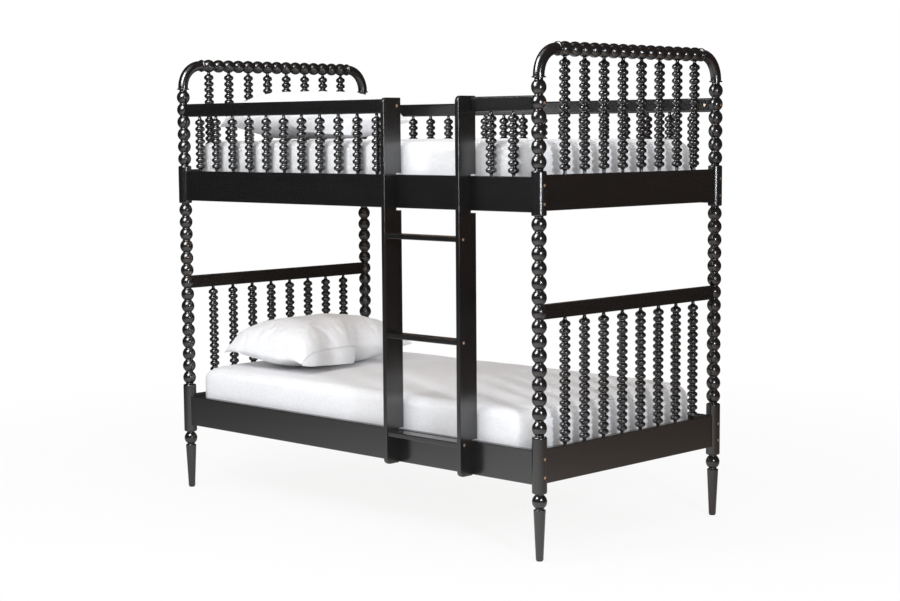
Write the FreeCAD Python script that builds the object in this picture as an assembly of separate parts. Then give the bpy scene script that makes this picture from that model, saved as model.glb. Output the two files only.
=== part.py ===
import FreeCAD, Part
import math
import os

# A twin-over-twin bunk bed with bobbin-turned posts and spindles.
# Millimetres, +Z up. +X runs along the bed towards its foot end, the ladder faces -Y.
# The origin is on the floor, under the middle of the bed and its ladder.

# Overall sizes. The height is the sum of the post's turned lengths and the bend over it.
overall_length = 2006.6
overall_depth = 1112.5
ladder_standoff = 47.9          # how far the ladder stands in front of the posts

# Heights of the turned posts, floor upward
glide_thickness = 3.0
foot_height = 180.7
leg_bead_pitch = 49.6
lower_block_length = 199.2
lower_bead_pitch = 50.12
lower_bead_count = 15
upper_block_length = 153.7
upper_bead_pitch = 50.55
upper_bead_count = 6
collar_neck_length = 5.8

# Turned post section
post_d = 53.0
post_neck_d = 30.4
post_crown_share = 0.87         # share of a bead's curve that is crown, the rest is cove
shoulder_cove_r = 3.5
shoulder_round_r = 5.5
foot_bottom_d = 27.0
foot_top_d = 43.0
foot_round_r = 2.5
foot_edge_r = 2.0

# Bends and the beaded top rails
bend_r = 92.0
bend_stem = 3.1                 # straight run between the collar and the bend
bend_d = 40.0
collar_d = 49.0
collar_thickness = 5.0
collar_edge_r = 1.5
top_bead_d = 53.0
top_neck_d = 29.0
top_bead_pitch = 53.0
top_crown_share = 0.88
ring_d = 50.6
ring_thickness = 11.0
ring_cove_r = 5.0

# Flat rails
rail_thickness = 25.0
side_rail_height = 121.4
end_rail_height = 122.8
mid_rail_height = 50.8
guard_rail_height = 52.6
lower_side_rail_rise = 29.1     # rail's underside above the foot of its block
lower_end_rail_rise = 33.1
upper_side_rail_rise = 11.3
upper_end_rail_rise = 16.3
mid_rail_bead = 9               # the slim rail meets the middle of this bead, counted upward
guard_rail_rise = 197.7         # above the foot of the upper beads
rail_edge_r = 2.5
guard_edge_r = 6.0
block_seat = 20.0               # from a post's axis to the end of a rail seated in a block
bead_seat = 12.0                # the same in a bead

# Bobbin-turned spindles
spindle_bead_d = 39.8
spindle_neck_d = 23.0
spindle_bead_pitch = 25.3
spindle_crown_share = 0.67
spindle_end_d = 12.4
spindle_top_reach = 25.0        # from a flat rail to the first bead's middle under it
arch_top_reach = 21.8           # the same under the beaded top rail
spindle_top_rise = 20.0         # of the first bead's taper
spindle_foot_rise = 16.5        # of the last bead's taper
spindle_end_crown_share = 0.55
tenon_length = 8.0
tenon_clearance = 0.15
back_spindle_pitch = 108.6
front_spindle_pitch = 105.1
left_first_gap = 107.2          # post axis to the first spindle of the left guard
right_first_gap = 115.5         # post axis to the first spindle of the right guard

# Ladder
ladder_from_foot_post = 503.5   # from the foot posts' axes to the ladder's middle
ladder_inner_width = 357.6
stile_thickness = 17.8
stile_depth = 86.9
stile_above_guard = 4.2
stile_below_rail = 3.4
stile_edge_r = 3.0
stile_top_r = 20.0
stile_bottom_r = 18.0
notch_gap_over_upper_rail = 5.6
notch_gap_under_upper_rail = 9.4
notch_gap_over_lower_rail = 4.0
rung_count = 3
rung_spacing = 364.5
rung_thickness = 18.0
lowest_rung_rise = 101.6        # above the lower side rail's underside
rung_setback = 5.0
rung_edge_r = 3.0

# Bed decks
cleat_width = 25.0
cleat_height = 30.0
cleat_rise = 10.6               # cleat's underside above the side rail's underside
cleat_end_gap = 20.0
slat_count = 14
slat_width = 62.0
slat_thickness = 18.0
slat_end_gap = 3.0
slat_edge_r = 2.0

# Bedding
mattress_height = 190.0
mattress_side_gap = 10.8        # to the side rails
mattress_head_gap = 3.1         # to the top rail's beads, past which it lifts out
mattress_foot_gap = 39.3
mattress_corner_r = 75.0
mattress_top_edge_r = 45.0
mattress_end_edge_r = 60.0
mattress_bottom_edge_r = 20.0
mattress_crown = 6.0
mattress_end_shares = (0.0, 0.05, 0.17, 0.36, 0.62, 1.0)
pillow_width = 500.0
pillow_length = 635.0
pillow_rise = 128.0             # crown above the seam
pillow_drop = 60.0              # belly below the seam
pillow_seam_thickness = 7.0
pillow_drawn_in = 34.0          # how far the long seams draw in between the corners
pillow_head_gap = 62.2          # from the mattress's head end to the pillow's seam
pillow_front_gap = 82.5         # from the mattress's ladder side to the pillow's near edge
pillow_section_shares = (0.0, 0.04, 0.13, 0.28, 0.5, 0.72, 0.87, 0.96, 1.0)
bedding_clearance = 0.5

# Hardware
bolt_d = 6.0
bolt_head_d = 11.0
bolt_head_height = 4.0
bolt_head_sink = 1.0
bolt_hole_d = 6.8
bolt_head_clearance = 0.5
socket_width = 5.0
socket_depth = 2.5
nut_d = 10.0
nut_length = 17.0
nut_sink = 1.0
nut_clearance = 0.2
nut_from_end = 32.0
bolt_past_nut = 3.0
rail_bolt_spacing = 63.5
guard_bolt_rise = 26.8          # above the guard rail's underside
guard_bolt_inset = 7.5          # from the guard rail's front face, at the ladder
rung_bolt_inset = 21.7          # from the ladder's front
rung_nut_length = 12.0
rung_nut_from_end = 24.0
pin_d = 10.0
pin_length = 70.0
pin_up_length = 30.0
pin_clearance = 0.15
dowel_d = 10.0
dowel_length = 40.0
block_dowel_depth = 11.0
bead_dowel_depth = 8.0
end_rail_dowel_spacing = 76.0
dowel_clearance = 0.15
insert_d = 9.0
insert_bore_d = 6.2
insert_length = 12.0
insert_setback = 3.5            # from the bead's crown to the insert's face
insert_rise = 498.5             # middle of the pair above the foot of the lower beads
screw_d = 4.0
screw_head_d = 8.0
screw_head_height = 2.5
screw_length = 40.0
screw_clearance = 0.15
cleat_screw_length = 32.0
glide_d = 22.0

cut_over = 1.0                  # cutters run this far past a surface

# Places that follow from the sizes above
V = FreeCAD.Vector
X_AXIS = V(1, 0, 0)
Y_AXIS = V(0, 1, 0)
Z_AXIS = V(0, 0, 1)
ORIGIN = V(0, 0, 0)

post_r = post_d / 2
post_neck_r = post_neck_d / 2
post_x = overall_length / 2 - post_r
back_y = overall_depth / 2 - post_r
front_y = -overall_depth / 2 + ladder_standoff + post_r
middle_y = (back_y + front_y) / 2
post_half_y = (back_y - front_y) / 2
ladder_front_y = -overall_depth / 2
half_rail = rail_thickness / 2
rail_front_face_y = front_y - half_rail

leg_neck_z = foot_height + shoulder_cove_r
lower_block_z = leg_neck_z + leg_bead_pitch + shoulder_cove_r
lower_beads_z = lower_block_z + lower_block_length + shoulder_cove_r
unit_joint_z = lower_beads_z + lower_bead_count * lower_bead_pitch + shoulder_cove_r
upper_beads_z = unit_joint_z + upper_block_length + shoulder_cove_r
post_top_z = upper_beads_z + upper_bead_count * upper_bead_pitch + collar_neck_length
top_rail_z = post_top_z + collar_thickness + bend_stem + bend_r
top_rail_half = post_half_y - bend_r
top_beads_room = 2 * (top_rail_half - ring_thickness - ring_cove_r)
top_bead_count = 2 * int((top_beads_room / top_bead_pitch - 1) / 2) + 1

lower_side_rail_z = lower_block_z + lower_side_rail_rise
lower_end_rail_z = lower_block_z + lower_end_rail_rise
upper_side_rail_z = unit_joint_z + upper_side_rail_rise
upper_end_rail_z = unit_joint_z + upper_end_rail_rise
mid_rail_z = lower_beads_z + (mid_rail_bead - 1 / 2) * lower_bead_pitch - mid_rail_height / 2
guard_rail_z = upper_beads_z + guard_rail_rise
guard_bolt_z = guard_rail_z + guard_bolt_rise
insert_middle_z = lower_beads_z + insert_rise

lower_side_top = lower_side_rail_z + side_rail_height
upper_side_top = upper_side_rail_z + side_rail_height
lower_end_top = lower_end_rail_z + end_rail_height
upper_end_top = upper_end_rail_z + end_rail_height
guard_top = guard_rail_z + guard_rail_height
top_rail_underside = top_rail_z - top_bead_d / 2

stile_top_z = guard_top + stile_above_guard
stile_bottom_z = lower_side_rail_z - stile_below_rail
lowest_rung_z = lower_side_rail_z + lowest_rung_rise
ladder_middle_x = post_x - ladder_from_foot_post
stile_inner_left = ladder_middle_x - ladder_inner_width / 2
stile_inner_right = ladder_middle_x + ladder_inner_width / 2
stile_outer_left = stile_inner_left - stile_thickness
stile_outer_right = stile_inner_right + stile_thickness

ENDS = (("left", -1), ("right", 1))
SIDES = (("front", front_y, 1), ("back", back_y, -1))
DECKS = (("lower", lower_side_rail_z), ("upper", upper_side_rail_z))
end_spindle_ys = [middle_y + (i - (top_bead_count - 1) / 2) * top_bead_pitch
                  for i in range(0, top_bead_count, 2)]


def save(shape, node):
    """Write one named piece, or one group of like pieces."""
    shape.exportStep("parts/" + node + ".step")


def group(shapes):
    return Part.makeCompound(list(shapes))


def box(x0, x1, y0, y1, z0, z1):
    return Part.makeBox(x1 - x0, y1 - y0, z1 - z0, V(x0, y0, z0))


def rod(d, start, direction, length):
    return Part.makeCylinder(d / 2, length, start, direction)


def cut_all(shape, cutters):
    """Cut every cutter that is given out of a shape."""
    cutters = list(cutters)
    if not cutters:
        return shape
    return shape.cut(cutters)


def eased_bar(bar, along, edge_r):
    """Round the edges of a bar that run along it and leave its ends square."""
    edges = [e for e in bar.Edges if abs(e.tangentAt(e.FirstParameter).dot(along)) > 0.99]
    return bar.makeFillet(edge_r, edges)


# Turned work. An outline is drawn upward in radius and height, then turned round the Z axis.

class Turning:
    def __init__(self, r, z):
        self.edges = []
        self.foot = V(0, 0, z)
        self.here = self.foot
        self.line(r, z)

    def line(self, r, z):
        there = V(r, 0, z)
        if there.distanceToPoint(self.here) > 0:
            self.edges.append(Part.LineSegment(self.here, there).toShape())
            self.here = there

    def arc(self, middle, there):
        self.edges.append(Part.Arc(self.here, middle, there).toShape())
        self.here = there

    def quarter(self, r, z, hollow):
        """Quarter round to (r, z): hollow curves in towards the axis, the other way bulges."""
        dr = r - self.here.x
        dz = z - self.here.z
        rising_out = dr * dz > 0
        if rising_out == hollow:
            centre = V(r, 0, self.here.z)
        else:
            centre = V(self.here.x, 0, z)
        away = (self.here - centre) + (V(r, 0, z) - centre)
        away.normalize()
        self.arc(centre + away * abs(dr), V(r, 0, z))

    def swell(self, r, z, crown_share):
        """S curve to (r, z), parallel to the axis at both ends: a cove joined to a crown."""
        start = self.here
        end = V(r, 0, z)
        half = abs(end.z - start.z)
        step = abs(end.x - start.x)
        both_r = (half * half + step * step) / (2 * step)
        outer, inner = (end, start) if end.x > start.x else (start, end)
        crown_r = both_r * crown_share
        crown_centre = V(outer.x - crown_r, 0, outer.z)
        cove_centre = V(inner.x + both_r - crown_r, 0, inner.z)
        meet = crown_centre + (cove_centre - crown_centre) * crown_share

        def between(centre, a, b):
            away = (a - centre) + (b - centre)
            away.normalize()
            return centre + away * a.distanceToPoint(centre)

        first, second = (cove_centre, crown_centre) if end.x > start.x else (crown_centre, cove_centre)
        self.arc(between(first, start, meet), meet)
        self.arc(between(second, meet, end), end)

    def beads(self, count, pitch, neck_r, crown_share):
        """From the first bead's crown, where the outline is, to the last one's."""
        crown = self.here.x
        half = pitch / 2
        step = crown - neck_r
        both_r = (half * half + step * step) / (2 * step)
        meet_r = crown - both_r * crown_share + (neck_r + both_r - crown) * crown_share
        meet_z = half * crown_share
        z = self.here.z
        for i in range(count - 1):
            neck = V(neck_r, 0, z + half)
            before = V(meet_r, 0, z + meet_z)
            after = V(meet_r, 0, z + pitch - meet_z)
            if i == 0:
                centre = V(crown - both_r * crown_share, 0, z)
                away = (self.here - centre) + (before - centre)
                away.normalize()
                self.arc(centre + away * (both_r * crown_share), before)
            else:
                self.arc(V(crown, 0, z), before)
            self.arc(neck, after)
            z += pitch
        centre = V(crown - both_r * crown_share, 0, z)
        end = V(crown, 0, z)
        away = (self.here - centre) + (end - centre)
        away.normalize()
        self.arc(centre + away * (both_r * crown_share), end)

    def bead_run(self, count, pitch, crown_r, neck_r, crown_share):
        """Whole beads from one neck to the next, with the outline starting at a neck."""
        z = self.here.z
        self.swell(crown_r, z + pitch / 2, crown_share)
        if count > 1:
            self.beads(count, pitch, neck_r, crown_share)
        self.swell(neck_r, z + count * pitch, crown_share)

    def shoulder_out(self, r):
        """From a neck up to a wider, round-edged block."""
        z = self.here.z + shoulder_cove_r
        self.quarter(self.here.x + shoulder_cove_r, z, True)
        self.line(r - shoulder_round_r, z)
        self.quarter(r, z + shoulder_round_r, False)

    def shoulder_in(self, z, neck_r, round_r):
        """Up to a round-edged flat top at z, then into the neck over it."""
        self.line(self.here.x, z - round_r)
        self.quarter(self.here.x - round_r, z, False)
        self.line(neck_r + shoulder_cove_r, z)
        self.quarter(neck_r, z + shoulder_cove_r, True)

    def solid(self):
        self.line(0, self.here.z)
        self.line(self.foot.x, self.foot.z)
        face = Part.Face(Part.Wire(self.edges))
        return face.revolve(ORIGIN, Z_AXIS, 360)


def lay_along_y(shape):
    """Turn a piece made along Z so that its top points along +Y."""
    turned = shape.copy()
    turned.rotate(ORIGIN, X_AXIS, -90)
    return turned


def placed(shape, x, y, z):
    moved = shape.copy()
    moved.translate(V(x, y, z))
    return moved


# Posts

def turned_lower_post():
    turning = Turning(foot_bottom_d / 2 - foot_edge_r, glide_thickness)
    turning.quarter(foot_bottom_d / 2, glide_thickness + foot_edge_r, False)
    turning.line(foot_top_d / 2, foot_height - foot_round_r)
    turning.shoulder_in(foot_height, post_neck_r, foot_round_r)
    turning.bead_run(1, leg_bead_pitch, post_r, post_neck_r, post_crown_share)
    turning.shoulder_out(post_r)
    turning.shoulder_in(lower_block_z + lower_block_length, post_neck_r, shoulder_round_r)
    turning.bead_run(lower_bead_count, lower_bead_pitch, post_r, post_neck_r, post_crown_share)
    turning.quarter(post_neck_r + shoulder_cove_r, unit_joint_z, True)
    return turning.solid()


def turned_upper_post():
    turning = Turning(post_r - shoulder_round_r, unit_joint_z)
    turning.quarter(post_r, unit_joint_z + shoulder_round_r, False)
    turning.shoulder_in(unit_joint_z + upper_block_length, post_neck_r, shoulder_round_r)
    turning.bead_run(upper_bead_count, upper_bead_pitch, post_r, post_neck_r, post_crown_share)
    turning.line(post_neck_r, post_top_z)
    return turning.solid()


def rail_seat(x_sign, y_sign, seat, z0, height):
    """Cutter for the flat seat that a rail's end fills, in a post standing at the origin.

    One sign is 0, and the other says which way the rail leaves the post."""
    reach = post_d
    if x_sign:
        x0, x1 = sorted((x_sign * seat, x_sign * reach))
        return box(x0, x1, -half_rail, half_rail, z0, z0 + height)
    y0, y1 = sorted((y_sign * seat, y_sign * reach))
    return box(-half_rail, half_rail, y0, y1, z0, z0 + height)


def post_bolt_hole(x_sign, z):
    """Through hole and head recess, along X, in a post standing at the origin."""
    outward = X_AXIS * x_sign
    run = rod(bolt_hole_d, outward * -post_d + V(0, 0, z), outward, 2 * post_d)
    recess_d = bolt_head_d + 2 * bolt_head_clearance
    recess_start = outward * (post_r - bolt_head_sink - bolt_head_height) + V(0, 0, z)
    return run.fuse(rod(recess_d, recess_start, outward, post_r))


def dowel_hole(start, direction, depth):
    back = start - direction * cut_over
    return rod(dowel_d + 2 * dowel_clearance, back, direction, depth + dowel_clearance + cut_over)


def rail_bolt_heights(rail_z):
    middle = rail_z + side_rail_height / 2
    return (middle - rail_bolt_spacing / 2, middle + rail_bolt_spacing / 2)


def end_dowel_heights(rail_z):
    middle = rail_z + end_rail_height / 2
    return (middle - end_rail_dowel_spacing / 2, middle + end_rail_dowel_spacing / 2)


def insert_heights():
    return (insert_middle_z - rail_bolt_spacing / 2, insert_middle_z + rail_bolt_spacing / 2)


mid_dowel_z = mid_rail_z + mid_rail_height / 2


def lower_post(x_sign, y_inward):
    cutters = [rail_seat(-x_sign, 0, block_seat, lower_side_rail_z, side_rail_height),
               rail_seat(0, y_inward, block_seat, lower_end_rail_z, end_rail_height),
               rail_seat(0, y_inward, bead_seat, mid_rail_z, mid_rail_height)]
    cutters += [post_bolt_hole(x_sign, z) for z in rail_bolt_heights(lower_side_rail_z)]
    into_post = Y_AXIS * -y_inward
    for z in end_dowel_heights(lower_end_rail_z):
        cutters.append(dowel_hole(into_post * -block_seat + V(0, 0, z), into_post, block_dowel_depth))
    cutters.append(dowel_hole(into_post * -bead_seat + V(0, 0, mid_dowel_z), into_post, bead_dowel_depth))
    outward = X_AXIS * x_sign
    for z in insert_heights():
        mouth = outward * -(post_r - insert_setback) + V(0, 0, z)
        cutters.append(rod(insert_d, mouth, outward, insert_length))
        cutters.append(rod(insert_d + 2 * cut_over, mouth, -outward, post_r))
    pin_down = pin_length - pin_up_length + pin_clearance
    cutters.append(rod(pin_d + 2 * pin_clearance, V(0, 0, unit_joint_z + cut_over), -Z_AXIS, pin_down + cut_over))
    return cut_all(lower_post_blank, cutters)


def upper_post(x_sign, y_inward):
    cutters = [rail_seat(-x_sign, 0, block_seat, upper_side_rail_z, side_rail_height),
               rail_seat(0, y_inward, block_seat, upper_end_rail_z, end_rail_height),
               rail_seat(-x_sign, 0, bead_seat, guard_rail_z, guard_rail_height)]
    cutters += [post_bolt_hole(x_sign, z) for z in rail_bolt_heights(upper_side_rail_z)]
    cutters.append(post_bolt_hole(x_sign, guard_bolt_z))
    into_post = Y_AXIS * -y_inward
    for z in end_dowel_heights(upper_end_rail_z):
        cutters.append(dowel_hole(into_post * -block_seat + V(0, 0, z), into_post, block_dowel_depth))
    pin_up = pin_up_length + pin_clearance
    cutters.append(rod(pin_d + 2 * pin_clearance, V(0, 0, unit_joint_z - cut_over), Z_AXIS, pin_up + cut_over))
    return cut_all(upper_post_blank, cutters)


lower_post_blank = turned_lower_post()
upper_post_blank = turned_upper_post()
for side, y, inward in SIDES:
    for end, sign in ENDS:
        save(placed(lower_post(sign, inward), sign * post_x, y, 0), "lower_post_%s_%s" % (side, end))
        save(placed(upper_post(sign, inward), sign * post_x, y, 0), "upper_post_%s_%s" % (side, end))


# Bends and beaded top rails, which make the arch at each end

def corner_bend(x, y, inward):
    """A collar on the post, then a round bar bent inward to meet the top rail."""
    turning = Turning(collar_d / 2 - collar_edge_r, post_top_z)
    turning.quarter(collar_d / 2, post_top_z + collar_edge_r, False)
    turning.line(collar_d / 2, post_top_z + collar_thickness - collar_edge_r)
    turning.quarter(collar_d / 2 - collar_edge_r, post_top_z + collar_thickness, False)
    turning.line(bend_d / 2, post_top_z + collar_thickness)
    turning.line(bend_d / 2, top_rail_z - bend_r)
    stem = placed(turning.solid(), x, y, 0)
    start = V(x, y, top_rail_z - bend_r)
    disc = Part.Face(Part.Wire(Part.makeCircle(bend_d / 2, start, Z_AXIS)))
    quarter = disc.revolve(V(x, y + inward * bend_r, start.z), X_AXIS, -inward * 90)
    return stem.fuse(quarter).removeSplitter()


def turned_top_rail():
    """A run of round beads between two rings, made along Z and centred."""
    turning = Turning(bend_d / 2, -top_rail_half)
    first_neck = -top_bead_count * top_bead_pitch / 2
    ring_inner = -top_rail_half + ring_thickness
    ring_middle = V(ring_d / 2, 0, -top_rail_half + ring_thickness / 2)
    turning.arc(ring_middle, V(bend_d / 2, 0, ring_inner))
    neck_r = top_neck_d / 2
    turning.line(neck_r + ring_cove_r, ring_inner)
    turning.quarter(neck_r, ring_inner + ring_cove_r, True)
    turning.line(neck_r, first_neck)
    turning.bead_run(top_bead_count, top_bead_pitch, top_bead_d / 2, neck_r, top_crown_share)
    turning.line(neck_r, -ring_inner - ring_cove_r)
    turning.quarter(neck_r + ring_cove_r, -ring_inner, True)
    turning.line(bend_d / 2, -ring_inner)
    turning.arc(V(ring_d / 2, 0, -ring_middle.z), V(bend_d / 2, 0, top_rail_half))
    return turning.solid()


def spindle_hole(x, y, z, direction, depth):
    start = V(x, y, z) - direction * cut_over
    return rod(spindle_end_d + 2 * tenon_clearance, start, direction, depth + tenon_clearance + cut_over)


def top_rail(x):
    rail = placed(lay_along_y(turned_top_rail()), x, middle_y, top_rail_z)
    return cut_all(rail, [spindle_hole(x, y, top_rail_underside, Z_AXIS, tenon_length) for y in end_spindle_ys])


for side, y, inward in SIDES:
    for end, sign in ENDS:
        save(corner_bend(sign * post_x, y, inward), "corner_bend_%s_%s" % (side, end))
for end, sign in ENDS:
    save(top_rail(sign * post_x), "beaded_top_rail_" + end)


# End rails: a deep one at each deck and a slim one over the lower spindles

def end_bar(x, z0, height, seat, dowel_heights, top_tenons, bottom_tenons):
    y0 = front_y + seat
    y1 = back_y - seat
    bar = eased_bar(box(x - half_rail, x + half_rail, y0, y1, z0, z0 + height), Y_AXIS, rail_edge_r)
    cutters = []
    if top_tenons:
        cutters += [spindle_hole(x, y, z0 + height, -Z_AXIS, tenon_length) for y in end_spindle_ys]
    if bottom_tenons:
        cutters += [spindle_hole(x, y, z0, Z_AXIS, tenon_length) for y in end_spindle_ys]
    depth = dowel_length - (bead_dowel_depth if seat == bead_seat else block_dowel_depth)
    for z in dowel_heights:
        cutters.append(dowel_hole(V(x, y0, z), Y_AXIS, depth))
        cutters.append(dowel_hole(V(x, y1, z), -Y_AXIS, depth))
    return cut_all(bar, cutters)


for end, sign in ENDS:
    x = sign * post_x
    save(end_bar(x, lower_end_rail_z, end_rail_height, block_seat,
                 end_dowel_heights(lower_end_rail_z), True, False), "lower_end_rail_" + end)
    save(end_bar(x, upper_end_rail_z, end_rail_height, block_seat,
                 end_dowel_heights(upper_end_rail_z), True, False), "upper_end_rail_" + end)
    save(end_bar(x, mid_rail_z, mid_rail_height, bead_seat, (mid_dowel_z,), False, True), "mid_rail_" + end)


# Spindles

def turned_spindle(z0, z1, top_reach):
    """As many oblate beads as the gap between two rails holds, with a slim tenon let into each rail."""
    end_r = spindle_end_d / 2
    crown_r = spindle_bead_d / 2
    last_crown = z1 - top_reach
    count = int((last_crown - z0 - spindle_foot_rise) / spindle_bead_pitch) + 1
    first_crown = last_crown - (count - 1) * spindle_bead_pitch
    turning = Turning(end_r, z0 - tenon_length)
    turning.line(end_r, first_crown - spindle_foot_rise)
    turning.swell(crown_r, first_crown, spindle_end_crown_share)
    turning.beads(count, spindle_bead_pitch, spindle_neck_d / 2, spindle_crown_share)
    turning.swell(end_r, last_crown + spindle_top_rise, spindle_end_crown_share)
    turning.line(end_r, z1 + tenon_length)
    return turning.solid()


lower_spindle = turned_spindle(lower_end_top, mid_rail_z, spindle_top_reach)
upper_spindle = turned_spindle(upper_end_top, top_rail_underside, arch_top_reach)
guard_spindle = turned_spindle(upper_side_top, guard_rail_z, spindle_top_reach)
for end, sign in ENDS:
    x = sign * post_x
    save(group(placed(lower_spindle, x, y, 0) for y in end_spindle_ys), "lower_spindles_" + end)
    save(group(placed(upper_spindle, x, y, 0) for y in end_spindle_ys), "upper_spindles_" + end)


def guard_count(span, first_gap):
    return int((span - first_gap - spindle_bead_d / 2) / front_spindle_pitch) + 1


left_guard_count = guard_count(stile_outer_left + post_x, left_first_gap)
left_guard_xs = [-post_x + left_first_gap + i * front_spindle_pitch for i in range(left_guard_count)]
right_guard_count = guard_count(post_x - stile_outer_right, right_first_gap)
right_guard_xs = [post_x - right_first_gap - i * front_spindle_pitch for i in range(right_guard_count)]
back_guard_count = int(2 * post_x / back_spindle_pitch)
back_guard_xs = [(i - (back_guard_count - 1) / 2) * back_spindle_pitch for i in range(back_guard_count)]
save(group(placed(guard_spindle, x, front_y, 0) for x in left_guard_xs), "guard_spindles_front_left")
save(group(placed(guard_spindle, x, front_y, 0) for x in right_guard_xs), "guard_spindles_front_right")
save(group(placed(guard_spindle, x, back_y, 0) for x in back_guard_xs), "guard_spindles_back")


# Bolts with barrel nuts. A bolt runs along its direction from its head's outer face.

def bolt(head_face, direction, length):
    head = rod(bolt_head_d, head_face, direction, bolt_head_height)
    socket = rod(socket_width, head_face - direction * cut_over, direction, socket_depth + cut_over)
    shank = rod(bolt_d, head_face + direction * bolt_head_height, direction, length - bolt_head_height)
    return head.cut(socket).fuse(shank)


def nut_hole(mouth, direction, length):
    back = mouth - direction * cut_over
    return rod(nut_d + 2 * nut_clearance, back, direction, cut_over + nut_sink + length + nut_clearance)


def barrel_nut(mouth, direction, length, bolt_direction, bolt_depth):
    """A cross dowel sunk below the mouth, bored for its bolt at bolt_depth from the mouth."""
    body = rod(nut_d, mouth + direction * nut_sink, direction, length)
    middle = mouth + direction * bolt_depth
    return body.cut(rod(bolt_hole_d, middle - bolt_direction * nut_d, bolt_direction, 2 * nut_d))


def bolt_way(end_point, direction):
    """Hole along a rail from its end to just past the nut."""
    length = nut_from_end + nut_d / 2 + 2 * bolt_past_nut
    return rod(bolt_hole_d, end_point - direction * cut_over, direction, length + cut_over)


bolt_tip_past_end = nut_from_end + nut_d / 2 + bolt_past_nut
rail_bolts = []
rail_nuts = []
guard_bolts = []
guard_nuts = []


# Side rails, with a cleat inside each that carries the slats

def side_rail(y, inward, z0, deck):
    x_end = post_x - block_seat
    bar = box(-x_end, x_end, y - half_rail, y + half_rail, z0, z0 + side_rail_height)
    bar = eased_bar(bar, X_AXIS, rail_edge_r)
    inner_face = y + inward * half_rail
    into = Y_AXIS * -inward
    cutters = []
    for z in rail_bolt_heights(z0):
        for end, sign in ENDS:
            away = X_AXIS * -sign
            nut_mouth = V(sign * (x_end - nut_from_end), inner_face, z)
            cutters.append(bolt_way(V(sign * x_end, y, z), away))
            cutters.append(nut_hole(nut_mouth, into, nut_length))
            rail_nuts.append(barrel_nut(nut_mouth, into, nut_length, away, half_rail))
            head_face = V(sign * (post_x + post_r - bolt_head_sink), y, z)
            rail_bolts.append(bolt(head_face, away, post_r - bolt_head_sink + block_seat + bolt_tip_past_end))
    if deck == "upper":
        xs = back_guard_xs if inward < 0 else left_guard_xs + right_guard_xs
        cutters += [spindle_hole(x, y, z0 + side_rail_height, -Z_AXIS, tenon_length) for x in xs]
    if inward > 0:
        cutters += ladder_screw_holes(z0)
    return cut_all(bar, cutters)


def ladder_screw_heights(z0):
    middle = z0 + side_rail_height / 2
    return (middle - rail_bolt_spacing / 2, middle + rail_bolt_spacing / 2)


def stile_middles():
    return (stile_inner_left - stile_thickness / 2, stile_inner_right + stile_thickness / 2)


def ladder_screw(x, z):
    """A screw driven from inside the front rail into a stile's back edge."""
    mouth = V(x, front_y + half_rail, z)
    head = rod(screw_head_d, mouth, -Y_AXIS, screw_head_height)
    return head.fuse(rod(screw_d, mouth, -Y_AXIS, screw_length))


def screw_hole(mouth, direction, length, head_height):
    hole = rod(screw_d + 2 * screw_clearance, mouth, direction, length + screw_clearance)
    head_d = screw_head_d + 2 * screw_clearance
    return hole.fuse(rod(head_d, mouth - direction * cut_over, direction, head_height + cut_over))


def ladder_screw_holes(z0):
    return [screw_hole(V(x, front_y + half_rail, z), -Y_AXIS, screw_length, screw_head_height)
            for x in stile_middles() for z in ladder_screw_heights(z0)]


for deck, z0 in DECKS:
    for side, y, inward in SIDES:
        save(side_rail(y, inward, z0, deck), "%s_side_rail_%s" % (deck, side))
save(group(ladder_screw(x, z) for deck, z0 in DECKS for x in stile_middles()
           for z in ladder_screw_heights(z0)), "ladder_screws")


# Cleats and slats

deck_half_x = post_x - half_rail
slat_pitch = 2 * deck_half_x / slat_count
slat_xs = [(i - (slat_count - 1) / 2) * slat_pitch for i in range(slat_count)]


def cleat_line(y, inward):
    """Middle of the cleat that runs inside the side rail at y."""
    return y + inward * (half_rail + cleat_width / 2)


def slat_top(z0):
    return z0 + cleat_rise + cleat_height + slat_thickness


def slat_screw_holes(y_line, z0, x):
    return screw_hole(V(x, y_line, slat_top(z0)), -Z_AXIS, cleat_screw_length, screw_head_height)


def cleat(y, inward, z0):
    half_x = post_x - half_rail - cleat_end_gap
    line = cleat_line(y, inward)
    bottom = z0 + cleat_rise
    bar = box(-half_x, half_x, line - cleat_width / 2, line + cleat_width / 2, bottom, bottom + cleat_height)
    return cut_all(bar, [slat_screw_holes(line, z0, x) for x in slat_xs])


def slat(x, z0):
    y0 = front_y + half_rail + slat_end_gap
    y1 = back_y - half_rail - slat_end_gap
    top = slat_top(z0)
    bar = box(x - slat_width / 2, x + slat_width / 2, y0, y1, top - slat_thickness, top)
    bar = eased_bar(bar, Y_AXIS, slat_edge_r)
    return cut_all(bar, [slat_screw_holes(cleat_line(y, inward), z0, x) for side, y, inward in SIDES])


def slat_screw(x, line, z0):
    mouth = V(x, line, slat_top(z0))
    head = rod(screw_head_d, mouth, -Z_AXIS, screw_head_height)
    return head.fuse(rod(screw_d, mouth, -Z_AXIS, cleat_screw_length))


for deck, z0 in DECKS:
    save(group(cleat(y, inward, z0) for side, y, inward in SIDES), deck + "_slat_cleats")
    save(group(slat(x, z0) for x in slat_xs), deck + "_slats")
save(group(slat_screw(x, cleat_line(y, inward), z0) for deck, z0 in DECKS
           for side, y, inward in SIDES for x in slat_xs), "slat_screws")


# Guard rails. One end is bolted through a post, the other through a post or the ladder.

def guard_bar(x0, x1, y, spindle_xs):
    bar = box(x0, x1, y - half_rail, y + half_rail, guard_rail_z, guard_top)
    bar = eased_bar(bar, X_AXIS, guard_edge_r)
    return cut_all(bar, [spindle_hole(x, y, guard_rail_z, Z_AXIS, tenon_length) for x in spindle_xs])


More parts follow.
